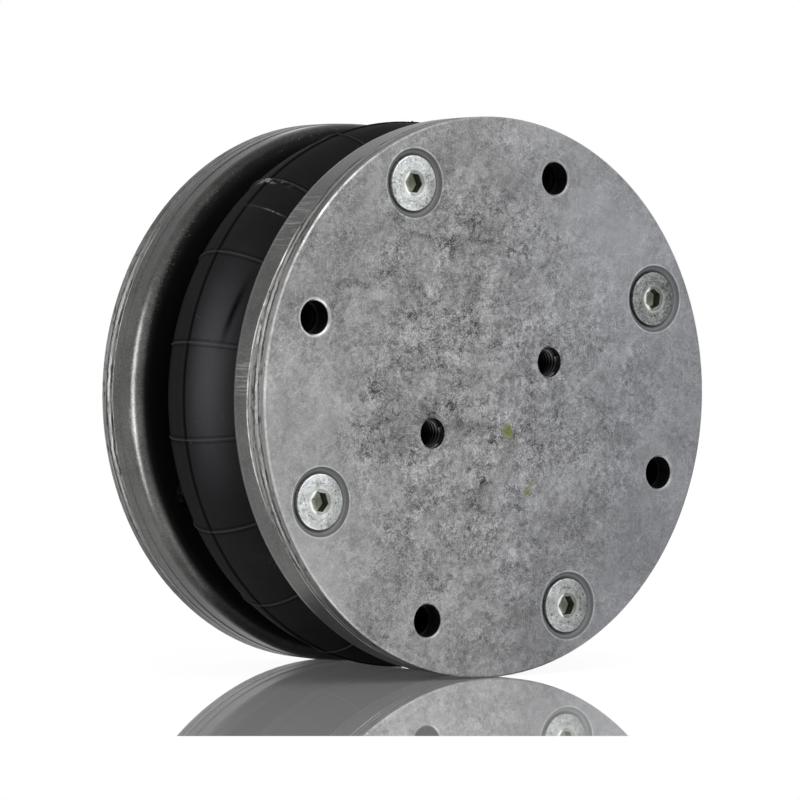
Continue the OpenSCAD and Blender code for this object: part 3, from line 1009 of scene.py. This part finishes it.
def copied_to(piece, name, place, turn=0.0, upside_down=False):
    """A copy of a piece with its own mesh, turned and moved in its mesh."""
    pick(piece)
    bpy.ops.object.duplicate()
    copy = bpy.context.object
    copy.name = copy.data.name = name
    if upside_down:
        bpy.ops.transform.rotate(value=math.pi, orient_axis="X", center_override=(0, 0, 0))
    if turn:
        bpy.ops.transform.rotate(value=-turn, orient_axis="Z", center_override=(0, 0, 0))
    bpy.ops.transform.translate(value=place)
    bpy.ops.object.transform_apply(location=True, rotation=True)
    return copy


pattern_screw = forged_screw("pattern_screw")
for number in range(1, 5):
    turn = math.radians(90) * (number - 1)
    place = turned(Vector((fix_r, 0, 0)), turn)
    for end, z in (("base", head_drop), ("top", height - head_drop)):
        node = f"{end}_clamp_screw_{number}"
        twist = turn + math.radians(TIGHTENED[number - 1])
        screw = copied_to(pattern_screw, f"{node}_forged", place + stroke * z, twist, end == "base")
        screw.data.materials.append(finishes[slot_of[node]])
        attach(screw, f"{end}_end")
        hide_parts(node)
bpy.data.objects.remove(pattern_screw)
print(f"8 screws, head {head_r * 2 / MM:.1f} mm, length {screw_len / MM:.1f} mm")

# %% [markdown]
# ## Threads
# The tapped holes are smooth walls at the thread's outer diameter, so the thread itself is a ridge that
# winds up the wall. A small triangle is drawn at the bottom of the hole and a Screw modifier carries it
# round and up. One ridge serves for all holes of its kind: copies are moved to the other holes.

# %% Thread ridges
M8_PITCH = 1.25 * MM
PORT_PITCH = 1.337 * MM
PAIR_RUN = (0.5 * MM, 11.4 * MM)
RIM_RUN = (5.4 * MM, 13.0 * MM)
PORT_START = 0.5 * MM
THREAD_STEPS = 40
RIDGE_ROOT = 0.05 * MM
RIDGE_DEPTH = 0.58
bolt_r = mounts["top_tapped_pair"]["hole_r_mm"] * MM
port_r = mounts["air_port"]["r_mm"] * MM


def thread_ridge(name, bore_r, pitch, low, high):
    """A helical ridge on the wall of a bore on the stroke axis, between two heights."""
    root, crest = bore_r + RIDGE_ROOT, bore_r - RIDGE_DEPTH * pitch
    turns = int((high - low) / pitch - 0.9)
    section = [(root, 0.0), (crest, 0.42), (crest, 0.5), (root, 0.92)]
    corners = [Vector((x, 0, low + share * pitch)) for x, share in section]
    piece = put_pen(name, corners[0])
    for start, end in zip(corners, corners[1:] + corners[:1]):
        draw_line(start, end)
    bpy.ops.mesh.select_all(action="SELECT")
    bpy.ops.mesh.remove_doubles(threshold=MERGE_GAP)
    bpy.ops.object.mode_set(mode="OBJECT")
    helix = piece.modifiers.new("helix", "SCREW")
    helix.screw_offset = pitch
    helix.iterations = turns
    helix.steps = helix.render_steps = THREAD_STEPS
    bpy.ops.object.modifier_apply(modifier=helix.name)
    bpy.ops.object.mode_set(mode="EDIT")
    bpy.ops.mesh.select_all(action="SELECT")
    bpy.ops.mesh.fill_holes(sides=4)
    return close_up(piece)


def add_threads(name, places, body, slot, *ridge):
    """The same ridge at several places, riding on a body."""
    first = thread_ridge(f"{name}_1", *ridge)
    others = enumerate(places[1:], start=2)
    pieces = [copied_to(first, f"{name}_{number}", place) for number, place in others]
    pick(first)
    bpy.ops.transform.translate(value=places[0])
    bpy.ops.object.transform_apply(location=True)
    for piece in [first] + pieces:
        piece.data.materials.append(thread_metal)
        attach(piece, body)
    return len(places)


def thread_finish():
    material, place, shader = new_finish("cut_thread")
    swarf = grain(place.at, 0.8 * MM, detail=4, roughness=0.8)
    out = least(least(place.to_tapped(), place.to_hole()), place.r - (port_r - bolt_r))
    crest = rise(out, bolt_r - 0.42 * MM, bolt_r - 0.62 * MM)
    above = place.above_tapped()
    # Painted light: the threads darken with depth, are lit only in their upper half and are dark in the rim
    # holes; a painted glint lies low in the mouth.
    lit = 1 - rise(place.depth, 1.5 * MM, 7 * MM) * 0.9
    lit = lit * (0.15 + rise(above, -0.5 * MM, 2 * MM) * 0.85)
    lit = lit * (1 - rise(place.r, 50 * MM, 52 * MM) * 0.8)
    mouth_glint = rise(above, -2.6 * MM, -3.2 * MM) * rise(place.depth, 2.2 * MM, 1.2 * MM)
    tone = (0.03 + crest * (0.09 + swarf * 0.12)) * lit + mouth_glint * 0.35
    connect(place, shader, Base_Color=grey(tone), Metallic=1.0, Roughness=0.4 + swarf * 0.2)
    return material


thread_metal = thread_finish()
pair_places = [Vector((side * pair_x, 0, 0)) for side in (-1, 1)]
rim_turns = [Matrix.Rotation(math.radians(45 + 90 * step), 3, "Z") for step in range(4)]
rim_places = [Vector((fix_r, 0, 0)) @ turn for turn in rim_turns]
ridges = 0
for end, body in (("base", "base_end"), ("top", "top_end")):
    for kind, places, slot, run in (("pair", pair_places, "plate_aluminium", PAIR_RUN),
                                    ("rim", rim_places, "ring_aluminium", RIM_RUN)):
        low, high = run if end == "base" else (height - run[1], height - run[0])
        ridges += add_threads(f"{end}_{kind}_thread", places, body, slot, bolt_r, M8_PITCH, low, high)
ridges += add_threads("air_port_thread", [Vector()], "base_end", "plate_aluminium", port_r, PORT_PITCH,
                      PORT_START, mounts["air_port"]["length_mm"] * MM)
print(f"{ridges} thread ridges")

# %% [markdown]
# ## Floor
# The part lies on a polished white sheet that shows it upside down. The sheet is three quarters mirror and
# one quarter matt white, with a faint glow so that it stays as white as the background. It ends a little
# before the part's reflection does, as in the photograph, and is turned a little so that this edge looks
# level. It is one-sided, so that a camera under it looks through.

# %% Floor
FLOOR_NEAR = 1.005
FLOOR_FAR = 3.2
FLOOR_HALF_WIDTH = 2.0
FLOOR_YAW = math.radians(3.9)
FLOOR_MIRROR = 0.75
FLOOR_WHITE = 0.97
FLOOR_GLOW = 0.04
FLOOR_GAP = 0.1 * MM


def floor_finish():
    material = bpy.data.materials.new("polished_white_floor")
    material.use_nodes = True
    tree = Wire(material.node_tree)
    nodes = material.node_tree.nodes
    shader = nodes["Principled BSDF"]
    shader.inputs["Base Color"].default_value = (FLOOR_WHITE, FLOOR_WHITE, FLOOR_WHITE, 1)
    shader.inputs["Roughness"].default_value = 0.02
    shader.inputs["Metallic"].default_value = FLOOR_MIRROR
    shader.inputs["Emission Color"].default_value = (1, 1, 1, 1)
    shader.inputs["Emission Strength"].default_value = FLOOR_GLOW
    back = tree.node("ShaderNodeNewGeometry", out="Backfacing")
    clear = tree.node("ShaderNodeBsdfTransparent")
    solid = Wire(material.node_tree, shader.outputs["BSDF"])
    shown = tree.node("ShaderNodeMixShader", None, {0: back, 1: solid, 2: clear})
    material.node_tree.links.new(shown.socket, nodes["Material Output"].inputs["Surface"])
    return material


def lay_floor():
    """A rectangle under the rim, from a little in front of the part to far behind it."""
    ahead = (aim - eye) - photo_up * (aim - eye).dot(photo_up)
    ahead.normalize()
    yaw = Matrix.Rotation(FLOOR_YAW, 3, photo_up)
    foot = eye - photo_up * (eye.dot(photo_up) + plate_r + FLOOR_GAP)
    bpy.ops.object.select_all(action="DESELECT")
    bpy.ops.mesh.primitive_plane_add(size=2)
    floor = bpy.context.object
    floor.name = "white_floor"
    half = (FLOOR_FAR - FLOOR_NEAR) / 2
    near_edge = foot + ahead * FLOOR_NEAR
    ahead = yaw @ ahead
    beside = ahead.cross(photo_up)
    centre = near_edge + ahead * half
    columns = Matrix((beside * FLOOR_HALF_WIDTH, ahead * half, photo_up)).transposed().to_4x4()
    floor.matrix_world = Matrix.Translation(centre) @ columns
    bpy.ops.object.transform_apply(location=True, rotation=True, scale=True)
    floor.data.materials.append(floor_finish())
    return floor


floor = lay_floor()
print("floor normal", [round(value, 3) for value in floor.data.polygons[0].normal])

# %% [markdown]
# ## Soft light
# A white room lights the part from all sides at a plain level. A long lamp at the left draws the bright
# line along the shoulder of the far ring, and a wide one above the front lifts the face. The background is
# white for the camera and in reflections.

# %% World and lamps
ROOM_LIGHT = 0.55


def white_room():
    world = bpy.data.worlds.new("white_room")
    bpy.context.scene.world = world
    world.use_nodes = True
    tree = Wire(world.node_tree)
    seen = None
    for ray in ("Is Camera Ray", "Is Glossy Ray", "Is Transmission Ray"):
        mask = tree.node("ShaderNodeLightPath", out=ray)
        seen = mask if seen is None else most(seen, mask)
    strength = ROOM_LIGHT + seen * (1 - ROOM_LIGHT)
    back = world.node_tree.nodes["Background"]
    back.inputs["Color"].default_value = (1, 1, 1, 1)
    world.node_tree.links.new(strength.socket, back.inputs["Strength"])


def softbox(name, place, size, power):
    """A rectangular lamp that is aimed at the middle of the part."""
    bpy.ops.object.select_all(action="DESELECT")
    bpy.ops.object.light_add(type="AREA")
    lamp = bpy.context.object
    lamp.name = name
    lamp.data.shape = "RECTANGLE"
    lamp.data.size, lamp.data.size_y = size
    lamp.data.energy = power
    lamp.matrix_world = looking(place, Vector((0, 0, mid)), photo_up)


white_room()
softbox("left_strip", from_face(-900, 50, -60), (0.24, 0.66), 8.5)
softbox("top_front", from_face(100, 700, 600), (1.4, 1.0), 7)
print("white room and two lamps")
